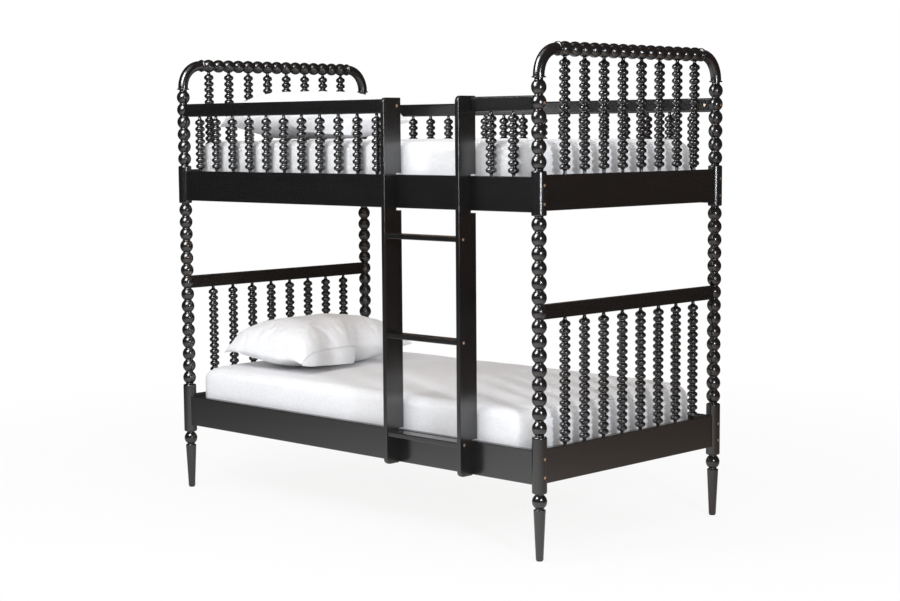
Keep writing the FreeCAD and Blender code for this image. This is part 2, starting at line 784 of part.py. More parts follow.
def bolt_guard_end(bar, x_end, away, y, inward, bolt_y, head_gap):
    """Bore a guard rail's end for a bolt whose head's outer face is head_gap beyond it."""
    inner_face = y + inward * half_rail
    into = Y_AXIS * -inward
    end_point = V(x_end, bolt_y, guard_bolt_z)
    nut_mouth = V(x_end, inner_face, guard_bolt_z) + away * nut_from_end
    guard_nuts.append(barrel_nut(nut_mouth, into, nut_length, away, abs(inner_face - bolt_y)))
    guard_bolts.append(bolt(end_point - away * head_gap, away, head_gap + bolt_tip_past_end))
    return cut_all(bar, [bolt_way(end_point, away), nut_hole(nut_mouth, into, nut_length)])


guard_end = post_x - bead_seat
post_head_gap = bead_seat + post_r - bolt_head_sink
stile_head_gap = stile_thickness - bolt_head_sink
stile_bolt_y = rail_front_face_y + guard_bolt_inset

front_left_guard = guard_bar(-guard_end, stile_outer_left, front_y, left_guard_xs)
front_left_guard = bolt_guard_end(front_left_guard, -guard_end, X_AXIS, front_y, 1, front_y, post_head_gap)
front_left_guard = bolt_guard_end(front_left_guard, stile_outer_left, -X_AXIS, front_y, 1,
                                  stile_bolt_y, stile_head_gap)
front_right_guard = guard_bar(stile_outer_right, guard_end, front_y, right_guard_xs)
front_right_guard = bolt_guard_end(front_right_guard, guard_end, -X_AXIS, front_y, 1, front_y, post_head_gap)
front_right_guard = bolt_guard_end(front_right_guard, stile_outer_right, X_AXIS, front_y, 1,
                                   stile_bolt_y, stile_head_gap)
back_guard = guard_bar(-guard_end, guard_end, back_y, back_guard_xs)
back_guard = bolt_guard_end(back_guard, -guard_end, X_AXIS, back_y, -1, back_y, post_head_gap)
back_guard = bolt_guard_end(back_guard, guard_end, -X_AXIS, back_y, -1, back_y, post_head_gap)
save(front_left_guard, "guard_rail_front_left")
save(front_right_guard, "guard_rail_front_right")
save(back_guard, "guard_rail_back")


# Ladder: two notched stiles and three flat rungs

rung_zs = [lowest_rung_z + i * rung_spacing for i in range(rung_count)]
rung_front_y = ladder_front_y + rung_setback
rung_bolt_y = ladder_front_y + rung_bolt_inset


def stile_outline():
    """Side view, with notches that pass in front of both side rails."""
    front = ladder_front_y
    back = ladder_front_y + stile_depth
    face = rail_front_face_y
    points = [(front + stile_bottom_r, stile_bottom_z),
              (face, stile_bottom_z),
              (face, lower_side_top + notch_gap_over_lower_rail),
              (back, lower_side_top + notch_gap_over_lower_rail),
              (back, upper_side_rail_z - notch_gap_under_upper_rail),
              (face, upper_side_rail_z - notch_gap_under_upper_rail),
              (face, upper_side_top + notch_gap_over_upper_rail),
              (back, upper_side_top + notch_gap_over_upper_rail),
              (back, stile_top_z),
              (front + stile_top_r, stile_top_z)]
    corners = [V(0, y, z) for y, z in points]
    edges = [Part.LineSegment(a, b).toShape() for a, b in zip(corners, corners[1:])]
    slant = math.sqrt(0.5)
    top_in = V(0, front, stile_top_z - stile_top_r)
    top_centre = V(0, front + stile_top_r, stile_top_z - stile_top_r)
    top_middle = top_centre + V(0, -slant, slant) * stile_top_r
    edges.append(Part.Arc(corners[-1], top_middle, top_in).toShape())
    bottom_in = V(0, front, stile_bottom_z + stile_bottom_r)
    bottom_centre = V(0, front + stile_bottom_r, stile_bottom_z + stile_bottom_r)
    bottom_middle = bottom_centre + V(0, -slant, -slant) * stile_bottom_r
    edges.append(Part.LineSegment(top_in, bottom_in).toShape())
    edges.append(Part.Arc(bottom_in, bottom_middle, corners[0]).toShape())
    return Part.Face(Part.Wire(edges))


def front_edges(blank):
    """The edges that run down the ladder's front and round its corners, on both faces."""
    return [e for e in blank.Edges
            if e.BoundBox.XLength < stile_edge_r and e.BoundBox.YMax < ladder_front_y + stile_top_r + cut_over]


def stile_bolt_recess(x_head_side, direction, y, z):
    """Through hole along X, with the head's recess in the face where the bolt goes in."""
    start = V(x_head_side, y, z) - direction * cut_over
    hole = rod(bolt_hole_d, start, direction, stile_thickness + 2 * cut_over)
    recess_depth = cut_over + bolt_head_sink + bolt_head_height
    return hole.fuse(rod(bolt_head_d + 2 * bolt_head_clearance, start, direction, recess_depth))


def stile(x_outer, inward):
    """inward is the X direction from the stile's outer face to the rungs."""
    blank = stile_outline().extrude(X_AXIS * stile_thickness)
    blank = blank.makeFillet(stile_edge_r, front_edges(blank))
    blank.translate(V(min(x_outer, x_outer + inward * stile_thickness), 0, 0))
    direction = X_AXIS * inward
    x_inner = x_outer + inward * stile_thickness
    cutters = [stile_bolt_recess(x_outer, direction, rung_bolt_y, z + rung_thickness / 2) for z in rung_zs]
    cutters.append(stile_bolt_recess(x_inner, -direction, stile_bolt_y, guard_bolt_z))
    cutters += [hole for deck, z0 in DECKS for hole in ladder_screw_holes(z0)]
    return cut_all(blank, cutters)


rung_bolts = []
rung_nuts = []


def rung(z0):
    x0, x1 = stile_inner_left, stile_inner_right
    bar = box(x0, x1, rung_front_y, rail_front_face_y, z0, z0 + rung_thickness)
    bar = eased_bar(bar, X_AXIS, rung_edge_r)
    z = z0 + rung_thickness / 2
    cutters = []
    for x_end, away in ((x0, X_AXIS), (x1, -X_AXIS)):
        end_point = V(x_end, rung_bolt_y, z)
        nut_mouth = V(x_end, rung_bolt_y, z0) + away * rung_nut_from_end
        way_length = rung_nut_from_end + nut_d / 2 + 2 * bolt_past_nut
        cutters.append(rod(bolt_hole_d, end_point - away * cut_over, away, way_length + cut_over))
        cutters.append(nut_hole(nut_mouth, Z_AXIS, rung_nut_length))
        rung_nuts.append(barrel_nut(nut_mouth, Z_AXIS, rung_nut_length, away, rung_thickness / 2))
        head_face = end_point - away * stile_head_gap
        rung_bolts.append(bolt(head_face, away, stile_head_gap + rung_nut_from_end + nut_d / 2 + bolt_past_nut))
    return cut_all(bar, cutters)


save(stile(stile_outer_left, 1), "ladder_stile_left")
save(stile(stile_outer_right, -1), "ladder_stile_right")
for name, z0 in zip(("lower", "middle", "upper"), rung_zs):
    save(rung(z0), "ladder_rung_" + name)


# Small hardware

def dowel(start, direction):
    return rod(dowel_d, start, direction, dowel_length)


end_dowels = []
for end, sign in ENDS:
    for side, y, inward in SIDES:
        block_start = y + inward * (block_seat - block_dowel_depth)
        bead_start = y + inward * (bead_seat - bead_dowel_depth)
        for rail_z in (lower_end_rail_z, upper_end_rail_z):
            end_dowels += [dowel(V(sign * post_x, block_start, z), Y_AXIS * inward)
                           for z in end_dowel_heights(rail_z)]
        end_dowels.append(dowel(V(sign * post_x, bead_start, mid_dowel_z), Y_AXIS * inward))


def at_posts(make):
    return group(make(sign * post_x, y, sign) for side, y, inward in SIDES for end, sign in ENDS)


def stacking_pin(x, y, sign):
    return rod(pin_d, V(x, y, unit_joint_z - pin_length + pin_up_length), Z_AXIS, pin_length)


def foot_glide(x, y, sign):
    return rod(glide_d, V(x, y, 0), Z_AXIS, glide_thickness)


def inserts(x, y, sign):
    """Two threaded sleeves in the bed side of a lower post."""
    outward = X_AXIS * sign
    sleeves = []
    for z in insert_heights():
        mouth = V(x, y, z) - outward * (post_r - insert_setback)
        sleeve = rod(insert_d, mouth, outward, insert_length)
        sleeves.append(sleeve.cut(rod(insert_bore_d, mouth, outward, insert_length)))
    return group(sleeves)


save(group(rail_bolts), "side_rail_bolts")
save(group(rail_nuts), "side_rail_barrel_nuts")
save(group(guard_bolts), "guard_rail_bolts")
save(group(guard_nuts), "guard_rail_barrel_nuts")
save(group(rung_bolts), "rung_bolts")
save(group(rung_nuts), "rung_barrel_nuts")
save(group(end_dowels), "end_rail_dowels")
save(at_posts(stacking_pin), "stacking_pins")
save(at_posts(foot_glide), "foot_glides")
save(at_posts(inserts), "threaded_inserts")


# Bedding

mattress_head_x = -post_x + top_bead_d / 2 + mattress_head_gap
mattress_foot_x = post_x - top_bead_d / 2 - mattress_foot_gap
mattress_length = mattress_foot_x - mattress_head_x
mattress_width = 2 * (post_half_y - half_rail - mattress_side_gap)


def fall_of_round(inset, radius):
    """How far a quarter round has fallen away at this inset from its end."""
    if inset >= radius:
        return 0
    left = radius - inset
    return radius - math.sqrt(radius * radius - left * left)


def mattress_section(x, inset, z0):
    """Closed section across the bed: flat base, rounded edges and a crowned top."""
    half = mattress_width / 2 - fall_of_round(inset, mattress_corner_r)
    low = z0 + fall_of_round(inset, mattress_bottom_edge_r)
    edge_top = z0 + mattress_height - mattress_crown - fall_of_round(inset, mattress_end_edge_r)
    slant = 1 - math.sqrt(0.5)
    low_r = mattress_bottom_edge_r
    top_r = mattress_top_edge_r
    y0, y1 = middle_y - half, middle_y + half
    points = [V(x, y0 + low_r, low), V(x, y1 - low_r, low),
              V(x, y1, low + low_r), V(x, y1, edge_top - top_r),
              V(x, y1 - top_r, edge_top), V(x, y0 + top_r, edge_top),
              V(x, y0, edge_top - top_r), V(x, y0, low + low_r)]
    low_turn = low_r * slant
    top_turn = top_r * slant
    middles = {1: V(x, y1 - low_turn, low + low_turn), 3: V(x, y1 - top_turn, edge_top - top_turn),
               4: V(x, middle_y, edge_top + mattress_crown),
               5: V(x, y0 + top_turn, edge_top - top_turn), 7: V(x, y0 + low_turn, low + low_turn)}
    edges = []
    for i, start in enumerate(points):
        end = points[(i + 1) % len(points)]
        if i in middles:
            edges.append(Part.Arc(start, middles[i], end).toShape())
        else:
            edges.append(Part.LineSegment(start, end).toShape())
    return Part.Wire(edges)


def mattress(z0):
    insets = [share * mattress_corner_r for share in mattress_end_shares]
    head = Part.makeLoft([mattress_section(mattress_head_x + i, i, z0) for i in insets], True, False)
    foot = Part.makeLoft([mattress_section(mattress_foot_x - i, i, z0) for i in insets], True, False)
    middle_start = mattress_head_x + insets[-1]
    middle_length = mattress_length - 2 * insets[-1]
    middle = Part.Face(mattress_section(middle_start, insets[-1], z0)).extrude(X_AXIS * middle_length)
    over_deck = box(mattress_head_x - cut_over, mattress_foot_x + cut_over, front_y, back_y,
                    z0, z0 + mattress_height + cut_over)
    return head.fuse([middle, foot]).common(over_deck)


def pillow_section(y, along, z_seam, x_middle):
    """Closed section between the two long seams: a crown over a shallower belly."""
    fullness = math.sqrt(max(0, 1 - along * along))
    half = pillow_width / 2 - pillow_drawn_in * (1 - along * along)
    lip = pillow_seam_thickness / 2
    left = V(x_middle - half, y, z_seam)
    right = V(x_middle + half, y, z_seam)
    crown = V(x_middle, y, z_seam + lip + (pillow_rise - lip) * fullness)
    belly = V(x_middle, y, z_seam - lip - (pillow_drop - lip) * fullness)
    over = Part.Arc(left, crown, right).toShape()
    under = Part.Arc(right, belly, left).toShape()
    return Part.Wire([over, under])


def pillow(z0):
    y_middle = middle_y - mattress_width / 2 + pillow_front_gap + pillow_length / 2
    z_seam = z0 + bedding_clearance + pillow_drop
    x_middle = mattress_head_x + pillow_head_gap + pillow_width / 2
    sections = []
    for share in pillow_section_shares:
        along = 2 * share - 1
        sections.append(pillow_section(y_middle + along * pillow_length / 2, along, z_seam, x_middle))
    return Part.makeLoft(sections, True, False)


for deck, z0 in DECKS:
    base = slat_top(z0)
    save(mattress(base), deck + "_mattress")
    save(pillow(base + mattress_height), deck + "_pillow")
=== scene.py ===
import math

import bpy
import numpy as np
from mathutils import Matrix, Vector


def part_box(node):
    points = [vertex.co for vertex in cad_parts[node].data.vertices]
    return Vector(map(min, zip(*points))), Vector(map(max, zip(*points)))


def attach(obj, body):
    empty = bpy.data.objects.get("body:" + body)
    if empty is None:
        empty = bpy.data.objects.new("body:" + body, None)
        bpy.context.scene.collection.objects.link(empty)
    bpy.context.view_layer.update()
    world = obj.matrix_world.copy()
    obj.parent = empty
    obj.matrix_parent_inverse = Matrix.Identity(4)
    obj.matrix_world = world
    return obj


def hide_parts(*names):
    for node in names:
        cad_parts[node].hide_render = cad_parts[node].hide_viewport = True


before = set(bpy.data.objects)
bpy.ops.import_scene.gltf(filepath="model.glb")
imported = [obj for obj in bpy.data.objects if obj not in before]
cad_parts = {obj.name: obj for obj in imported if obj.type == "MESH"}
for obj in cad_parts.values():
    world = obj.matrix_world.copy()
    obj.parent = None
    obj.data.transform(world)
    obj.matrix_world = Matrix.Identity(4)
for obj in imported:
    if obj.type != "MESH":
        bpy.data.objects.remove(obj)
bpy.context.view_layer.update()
scene = bpy.context.scene

# Lengths are in metres throughout.


# Camera, at the photograph's own viewing angle

CAMERA_PLACE = Vector((4.9747, -5.0240, 1.4802))
CAMERA_YAW = math.radians(43.8916)
CAMERA_DOWN = math.radians(6.0083)
CAMERA_ROLL = math.radians(-0.3764)
CAMERA_LENS = 71.137
CAMERA_SENSOR = 36.0
CAMERA_SHIFT = (-0.012, 0.021)
CAMERA_REACH = (0.1, 100.0)


def make_camera():
    data = bpy.data.cameras.new("camera")
    data.lens = CAMERA_LENS
    data.sensor_width = CAMERA_SENSOR
    data.sensor_fit = "HORIZONTAL"
    data.shift_x, data.shift_y = CAMERA_SHIFT
    data.clip_start, data.clip_end = CAMERA_REACH
    forward = Vector((-math.sin(CAMERA_YAW) * math.cos(CAMERA_DOWN),
                      math.cos(CAMERA_YAW) * math.cos(CAMERA_DOWN),
                      -math.sin(CAMERA_DOWN)))
    right = forward.cross(Vector((0, 0, 1))).normalized()
    up = right.cross(forward)
    c, s = math.cos(CAMERA_ROLL), math.sin(CAMERA_ROLL)
    x_axis = right * c + up * s
    y_axis = up * c - right * s
    camera = bpy.data.objects.new("camera", data)
    scene.collection.objects.link(camera)
    turn = Matrix((x_axis, y_axis, -forward)).transposed().to_4x4()
    camera.matrix_world = Matrix.Translation(CAMERA_PLACE) @ turn
    scene.camera = camera


# Lamps: a key over the front, a weak one on top, one on the right and a fill in front. The key and the
# right lamp only light surfaces, and boxes of other sizes stand in for them in the paint's reflections.
# Each row: place, aim, size, power in watts, colour, lights surfaces, shows in reflections

LAMPS = {
    "key_box": ((0.0, -2.4, 3.15), (0, 0, 0.8), (0.9, 1.2), 34, (0.985, 0.985, 1.0), True, False),
    "key_mirror": ((0.0, -2.4, 3.05), (0, 0, 0.9), (1.5, 2.0), 150, (0.97, 0.975, 1.0), False, True),
    "top_box": ((0.3, -1.1, 4.3), (0.2, 0, 0.5), (1.8, 1.4), 9, (1.0, 0.995, 0.985), True, True),
    "right_light": ((6.2, -2.85, 2.6), (0.6, 0, 0.6), (0.5, 0.8), 205, (0.9, 0.94, 1.0), True, False),
    "right_mirror": ((3.5, -1.4, 1.6), (0.6, 0, 0.9), (0.3, 1.0), 45, (0.88, 0.93, 1.0), False, True),
    "front_fill": ((2.8, -5.6, 3.9), (0, 0, 0.8), (2.4, 2.4), 56, (0.97, 0.98, 1.0), True, False),
}


def make_lamps():
    for name, (place, aim, size, power, colour, lights, mirrored) in LAMPS.items():
        data = bpy.data.lights.new(name, "AREA")
        data.shape = "RECTANGLE"
        data.size, data.size_y = size
        data.energy = power
        data.color = colour
        lamp = bpy.data.objects.new(name, data)
        scene.collection.objects.link(lamp)
        lamp.location = place
        lamp.rotation_mode = "QUATERNION"
        lamp.rotation_quaternion = (Vector(aim) - Vector(place)).to_track_quat("-Z", "Y")
        lamp.visible_diffuse = lights
        lamp.visible_glossy = mirrored


class Nodes:
    """A node tree, with short ways to add and join its nodes."""

    def __init__(self, tree):
        self.tree = tree
        self.tree.nodes.clear()

    def add(self, kind, **values):
        node = self.tree.nodes.new(kind)
        for key, value in values.items():
            setattr(node, key, value)
        return node

    def join(self, a, b):
        self.tree.links.new(a, b)

    def give(self, value, socket):
        """Set a socket to a number, a colour or vector, or another node's output."""
        if isinstance(value, bpy.types.NodeSocket):
            self.join(value, socket)
        elif isinstance(value, tuple) and len(socket.default_value) == 4:
            socket.default_value = (*value, 1)
        else:
            socket.default_value = value

    def span(self, value, source, target=(0, 1)):
        """The value, taken from the range source to the range target and held at its ends."""
        node = self.add("ShaderNodeMapRange")
        node.inputs["From Min"].default_value, node.inputs["From Max"].default_value = source
        node.inputs["To Min"].default_value, node.inputs["To Max"].default_value = target
        self.join(value, node.inputs["Value"])
        return node.outputs[0]

    def blend(self, fac, a, b, kind="MIX"):
        node = self.add("ShaderNodeMix", data_type="RGBA", blend_type=kind)
        self.give(fac, node.inputs["Factor"])
        self.give(a, node.inputs[6])
        self.give(b, node.inputs[7])
        return node.outputs[2]

    def maths(self, kind, a, b=0.0):
        node = self.add("ShaderNodeMath", operation=kind)
        self.give(a, node.inputs[0])
        self.give(b, node.inputs[1])
        return node.outputs[0]

    def shader_mix(self, fac, a, b):
        node = self.add("ShaderNodeMixShader")
        self.give(fac, node.inputs[0])
        self.join(a, node.inputs[1])
        self.join(b, node.inputs[2])
        return node.outputs[0]

    def measure(self, kind, place, vector):
        """The dot product with the vector, or the distance from it, of a place."""
        node = self.add("ShaderNodeVectorMath", operation=kind)
        self.join(place, node.inputs[0])
        node.inputs[1].default_value = vector
        return node.outputs["Value"]

    def glow(self, kind, colour):
        """A background or emission of the given colour."""
        node = self.add(kind)
        self.give(colour, node.inputs["Color"])
        node.inputs["Strength"].default_value = 1.0
        return node.outputs[0]

    def mirror_ray(self, path):
        return self.maths("MAXIMUM", path.outputs["Is Glossy Ray"], path.outputs["Is Transmission Ray"])


# World: white to the eye, an even fill on surfaces, and a dim room in reflections

FILL_COOL = (0.7, 0.705, 0.72)
FILL_WARM = (0.71, 0.7, 0.7)
BACKDROP_LIGHT = (0.8, 0.8, 0.8)
BACKDROP_WAY = (-0.7, 0.714, 0.0)       # from the bed to the backdrop behind it
BACKDROP_SPREAD = (-0.1, 0.7)           # agreement with that way, from none of its light to all
WARM_WAY = (0.7, 0.714, 0.0)            # towards the room's warm side
WARM_SPREAD = (-0.5, 0.6)
ROOM_COOL = (0.04, 0.04, 0.043)
ROOM_WARM = (0.075, 0.052, 0.043)
WHITE = (1, 1, 1)


def make_world():
    world = bpy.data.worlds.new("studio")
    scene.world = world
    world.use_nodes = True
    n = Nodes(world.node_tree)
    path = n.add("ShaderNodeLightPath")
    way = n.add("ShaderNodeTexCoord").outputs["Generated"]
    warm = n.span(n.measure("DOT_PRODUCT", way, WARM_WAY), WARM_SPREAD)
    backdrop = n.span(n.measure("DOT_PRODUCT", way, BACKDROP_WAY), BACKDROP_SPREAD)
    fill = n.blend(backdrop, n.blend(warm, FILL_COOL, FILL_WARM), BACKDROP_LIGHT)
    lit = n.glow("ShaderNodeBackground", fill)
    mirrored = n.glow("ShaderNodeBackground", n.blend(warm, ROOM_COOL, ROOM_WARM))
    seen = n.glow("ShaderNodeBackground", WHITE)
    bounced = n.shader_mix(n.mirror_ray(path), lit, mirrored)
    out = n.add("ShaderNodeOutputWorld")
    n.join(n.shader_mix(path.outputs["Is Camera Ray"], bounced, seen), out.inputs[0])


# Floor: white to the eye, with the bed's soft shadow. In reflections it is a pool of light that fades
# into the room, warmly on one side and sooner behind the bed

FLOOR_HALF = 14.0
FLOOR_COLOUR = (0.84, 0.835, 0.83)
FLOOR_SHADOW_SHARE = 0.13               # how much of the floor's own shading shows near the bed
FLOOR_SHADOW_FADE = (1.4, 4.0)          # distance from the bed's middle over which that ends
POOL_CENTRE = (0.8, -1.8, 0)
# distance from the pool's centre, and how bright the floor is there in reflections
POOL_LIGHT = ((0, 1.0), (0.9, 0.9), (1.9, 0.62), (2.5, 0.42),
              (3.2, 0.26), (4.6, 0.15), (6.0, 0.08), (9.0, 0.035))
POOL_TINT = (1.0, 0.74, 0.6)
POOL_TINT_REACH = (0.4, 2.2)            # along the warm way
POOL_END_REACH = (0.8, 3.0)             # along the backdrop's way


def make_floor():
    h = FLOOR_HALF
    mesh = bpy.data.meshes.new("floor")
    mesh.from_pydata([(-h, -h, 0), (h, -h, 0), (h, h, 0), (-h, h, 0)], [], [(0, 1, 2, 3)])
    floor = bpy.data.objects.new("floor", mesh)
    scene.collection.objects.link(floor)
    material = bpy.data.materials.new("floor")
    material.use_nodes = True
    n = Nodes(material.node_tree)
    path = n.add("ShaderNodeLightPath")
    place = n.add("ShaderNodeTexCoord").outputs["Object"]
    paper = n.add("ShaderNodeBsdfDiffuse")
    n.give(FLOOR_COLOUR, paper.inputs["Color"])

    pool = n.add("ShaderNodeValToRGB")
    stops = pool.color_ramp.elements
    pool_end = POOL_LIGHT[-1][0]
    while len(stops) < len(POOL_LIGHT):
        stops.new(0.5)
    for stop, (reach, level) in zip(stops, POOL_LIGHT):
        stop.position = reach / pool_end
        stop.color = (level, level, level, 1)
    n.join(n.span(n.measure("DISTANCE", place, POOL_CENTRE), (0, pool_end)), pool.inputs["Fac"])
    warm = n.span(n.measure("DOT_PRODUCT", place, WARM_WAY), POOL_TINT_REACH)
    tinted = n.blend(warm, pool.outputs["Color"], POOL_TINT, kind="MULTIPLY")
    behind = n.span(n.measure("DOT_PRODUCT", place, BACKDROP_WAY), POOL_END_REACH)
    mirrored = n.blend(behind, tinted, ROOM_COOL)
    shown = n.glow("ShaderNodeEmission", n.blend(path.outputs["Is Camera Ray"], mirrored, WHITE))

    away = n.measure("DISTANCE", place, (0, 0, 0))
    share = n.span(away, FLOOR_SHADOW_FADE, (1 - FLOOR_SHADOW_SHARE, 1))
    direct = n.maths("MAXIMUM", path.outputs["Is Camera Ray"], n.mirror_ray(path))
    out = n.add("ShaderNodeOutputMaterial")
    n.join(n.shader_mix(n.maths("MULTIPLY", direct, share), paper.outputs[0], shown), out.inputs[0])
    floor.data.materials.append(material)


# Materials

PAINT_COLOURS = ((0.0038, 0.0034, 0.0033), (0.006, 0.0049, 0.0044))
PAINT_ROUGH = (0.22, 0.25)
PAINT_GRAIN_ROUGH = (-0.01, 0.01)
PAINT_IOR = 1.58
PINE_COLOURS = ((0.63, 0.45, 0.265), (0.44, 0.27, 0.135))
PINE_FIBRE_COLOUR = (0.34, 0.2, 0.1)
PINE_ROUGH = (0.5, 0.72)
PINE_RINGS = 38.0                       # waves of growth rings in one swing of the noise
BRASS_COLOURS = ((0.86, 0.68, 0.5), (0.68, 0.5, 0.36))
BRASS_ROUGH = (0.5, 0.64)
STEEL_COLOURS = ((0.62, 0.62, 0.6), (0.45, 0.45, 0.44))
STEEL_ROUGH = (0.34, 0.48)
GLIDE_COLOURS = ((0.02, 0.02, 0.02), (0.032, 0.032, 0.032))
GLIDE_ROUGH = 0.55
# the cotton's colour in the blisters' hollows, darkened there as painted shade, and on their crowns
COTTON_COLOURS_WITH_HOLLOW_SHADE = ((0.8, 0.8, 0.812), (0.85, 0.85, 0.855))
COTTON_ROUGH = 0.88
COTTON_SPECULAR = 0.25
COTTON_SHEEN = 0.18
COTTON_SHEEN_ROUGH = 0.5


class Finish(Nodes):
    """A material, with its own noise and bump."""

    def __init__(self, name):
        self.material = bpy.data.materials.new(name)
        self.material.use_nodes = True
        super().__init__(self.material.node_tree)
        out = self.add("ShaderNodeOutputMaterial")
        self.shader = self.add("ShaderNodeBsdfPrincipled")
        self.join(self.shader.outputs[0], out.inputs[0])

    def set(self, **values):
        """Set the shader's sockets, named with underscores for spaces."""
        for key, value in values.items():
            self.give(value, self.shader.inputs[key.replace("_", " ")])

    def place(self, stretch):
        """The point in the object's own frame, stretched along each axis."""
        where = self.add("ShaderNodeTexCoord")
        mapping = self.add("ShaderNodeMapping")
        mapping.inputs["Scale"].default_value = stretch
        self.join(where.outputs["Object"], mapping.inputs["Vector"])
        return mapping.outputs[0]

    def noise(self, scale=1.0, stretch=(1, 1, 1), detail=4.0, rough=0.55, twist=0.0):
        node = self.add("ShaderNodeTexNoise")
        node.inputs["Scale"].default_value = scale
        node.inputs["Detail"].default_value = detail
        node.inputs["Roughness"].default_value = rough
        node.inputs["Distortion"].default_value = twist
        self.join(self.place(stretch), node.inputs["Vector"])
        return node.outputs["Fac"]

    def bands(self, axis, scale, twist):
        node = self.add("ShaderNodeTexWave", wave_type="BANDS", bands_direction=axis)
        node.inputs["Scale"].default_value = scale
        node.inputs["Distortion"].default_value = twist
        self.join(self.place((1, 1, 1)), node.inputs["Vector"])
        return node.outputs["Fac"]

    def sum(self, a, b):
        return self.maths("ADD", a, b)

    def bump(self, height, distance, strength=1.0, over=None):
        node = self.add("ShaderNodeBump")
        node.inputs["Distance"].default_value = distance
        node.inputs["Strength"].default_value = strength
        self.join(height, node.inputs["Height"])
        if over is not None:
            self.join(over, node.inputs["Normal"])
        return node.outputs[0]


def along(axis, small, large):
    """A stretch that is small along the grain and large across it."""
    return tuple(small if i == "XYZ".index(axis) else large for i in range(3))


def black_paint(name, axis):
    """Satin near-black paint that lets the wood's grain show faintly along the given axis."""
    n = Finish(name)
    grain = n.noise(stretch=along(axis, 6, 150), twist=0.3)
    cloud = n.noise(scale=9.0, detail=2.0)
    fine = n.noise(stretch=along(axis, 40, 1100), detail=2.0, rough=0.5)
    pores = n.sum(grain, n.span(fine, (0, 1), (0, 0.4)))
    n.set(Base_Color=n.blend(n.span(grain, (0.35, 0.72)), *PAINT_COLOURS),
          Roughness=n.sum(n.span(cloud, (0.3, 0.7), PAINT_ROUGH),
                          n.span(grain, (0.3, 0.7), PAINT_GRAIN_ROUGH)),
          Normal=n.bump(pores, distance=0.00003, strength=0.15),
          Specular_IOR_Level=1.0,
          IOR=PAINT_IOR)
    return n.material


def bare_pine(name, axis):
    """Planed pine with growth rings drawn out along the axis."""
    n = Finish(name)
    swing = n.noise(stretch=along(axis, 2.2, 42), detail=3.0, rough=0.5, twist=1.2)
    fibre = n.noise(stretch=along(axis, 25, 700), rough=0.6)
    rings = n.maths("SINE", n.maths("MULTIPLY", swing, PINE_RINGS))
    base = n.blend(n.span(rings, (-1, 1), (0, 0.75)), *PINE_COLOURS)
    n.set(Base_Color=n.blend(n.span(fibre, (0.35, 0.75), (0, 0.45)), base, PINE_FIBRE_COLOUR),
          Roughness=n.span(fibre, (0.2, 0.8), PINE_ROUGH),
          Normal=n.bump(fibre, distance=0.0004, strength=0.6))
    return n.material


def metal(name, colours, rough):
    n = Finish(name)
    patch = n.noise(scale=260.0)
    n.set(Base_Color=n.blend(n.span(patch, (0.35, 0.7)), *colours),
          Roughness=n.span(patch, (0.3, 0.7), rough),
          Metallic=1.0,
          Normal=n.bump(n.noise(scale=900.0), distance=0.00004))
    return n.material


def plastic(name, colours, rough):
    n = Finish(name)
    speck = n.noise(scale=700.0, detail=2.0)
    n.set(Base_Color=n.blend(speck, *colours),
          Roughness=rough,
          Normal=n.bump(speck, distance=0.00008))
    return n.material


def cotton(name):
    """White crinkled cotton: a plain weave under a soft, blistered quilting texture, with painted shade
    that makes its colour a little darker in the blisters' hollows.
    """
    n = Finish(name)
    x_threads, y_threads, z_threads = [n.bands(axis, scale=330.0, twist=0.6) for axis in "XYZ"]
    weave = n.sum(n.sum(x_threads, y_threads), z_threads)
    blister = n.noise(scale=115.0, detail=2.0, rough=0.5, twist=0.4)
    crinkle = n.noise(scale=36.0, detail=3.0, twist=1.1)
    folds = n.bump(crinkle, distance=0.0026, strength=0.55)
    blisters = n.bump(blister, distance=0.0009, strength=0.6, over=folds)
    # painted shade: the colour is darker where the blister bumps are low, in their hollows
    n.set(Base_Color=n.blend(n.span(blister, (0.35, 0.65)), *COTTON_COLOURS_WITH_HOLLOW_SHADE),
          Roughness=COTTON_ROUGH,
          Specular_IOR_Level=COTTON_SPECULAR,
          Sheen_Weight=COTTON_SHEEN,
          Sheen_Roughness=COTTON_SHEEN_ROUGH,
          Normal=n.bump(weave, distance=0.00012, strength=0.5, over=blisters))
    return n.material


def give_materials():
    black_x, black_y, black_z = [black_paint("black_paint_" + a.lower(), a) for a in "XYZ"]
    pine_x, pine_y = [bare_pine("bare_pine_" + a.lower(), a) for a in "XY"]
    brass = metal("dull_brass", BRASS_COLOURS, BRASS_ROUGH)
    steel = metal("zinc_steel", STEEL_COLOURS, STEEL_ROUGH)
    glide = plastic("glide_plastic", GLIDE_COLOURS, GLIDE_ROUGH)
    # the first word that a node's name holds decides
    by_word = (
        ("screws", steel), ("pins", steel), ("bolts", brass), ("nuts", brass), ("inserts", brass),
        ("glides", glide), ("dowels", pine_y), ("cleats", pine_x), ("slats", pine_y),
        ("side_rail", black_x), ("guard_rail", black_x), ("rung", black_x),
        ("end_rail", black_y), ("mid_rail", black_y), ("top_rail", black_y), ("bend", black_y),
    )
    for name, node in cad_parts.items():
        chosen = next((material for word, material in by_word if word in name), black_z)
        for slot in node.material_slots:
            slot.material = chosen


# Bedding

SHEET_UNDER = 0.0012            # that a sheet's crown stays under the solid mattress's top


def smooth(low, high, x):
    t = np.clip((x - low) / (high - low), 0, 1)
    return t * t * (3 - 2 * t)


def soft_noise(points, size, seed, waves=24):
    """Smooth wandering values, mostly from -1 to 1: a sum of waves of about the given length."""
    random = np.random.default_rng(seed)
    total = np.zeros(len(points))
    for _ in range(waves):
        way = random.normal(size=3)
        way /= np.linalg.norm(way)
        length = size * random.uniform(0.6, 1.7)
        total += np.sin(points @ way * (2 * math.pi / length) + random.uniform(0, 2 * math.pi))
    return total / math.sqrt(waves / 2) * 0.6


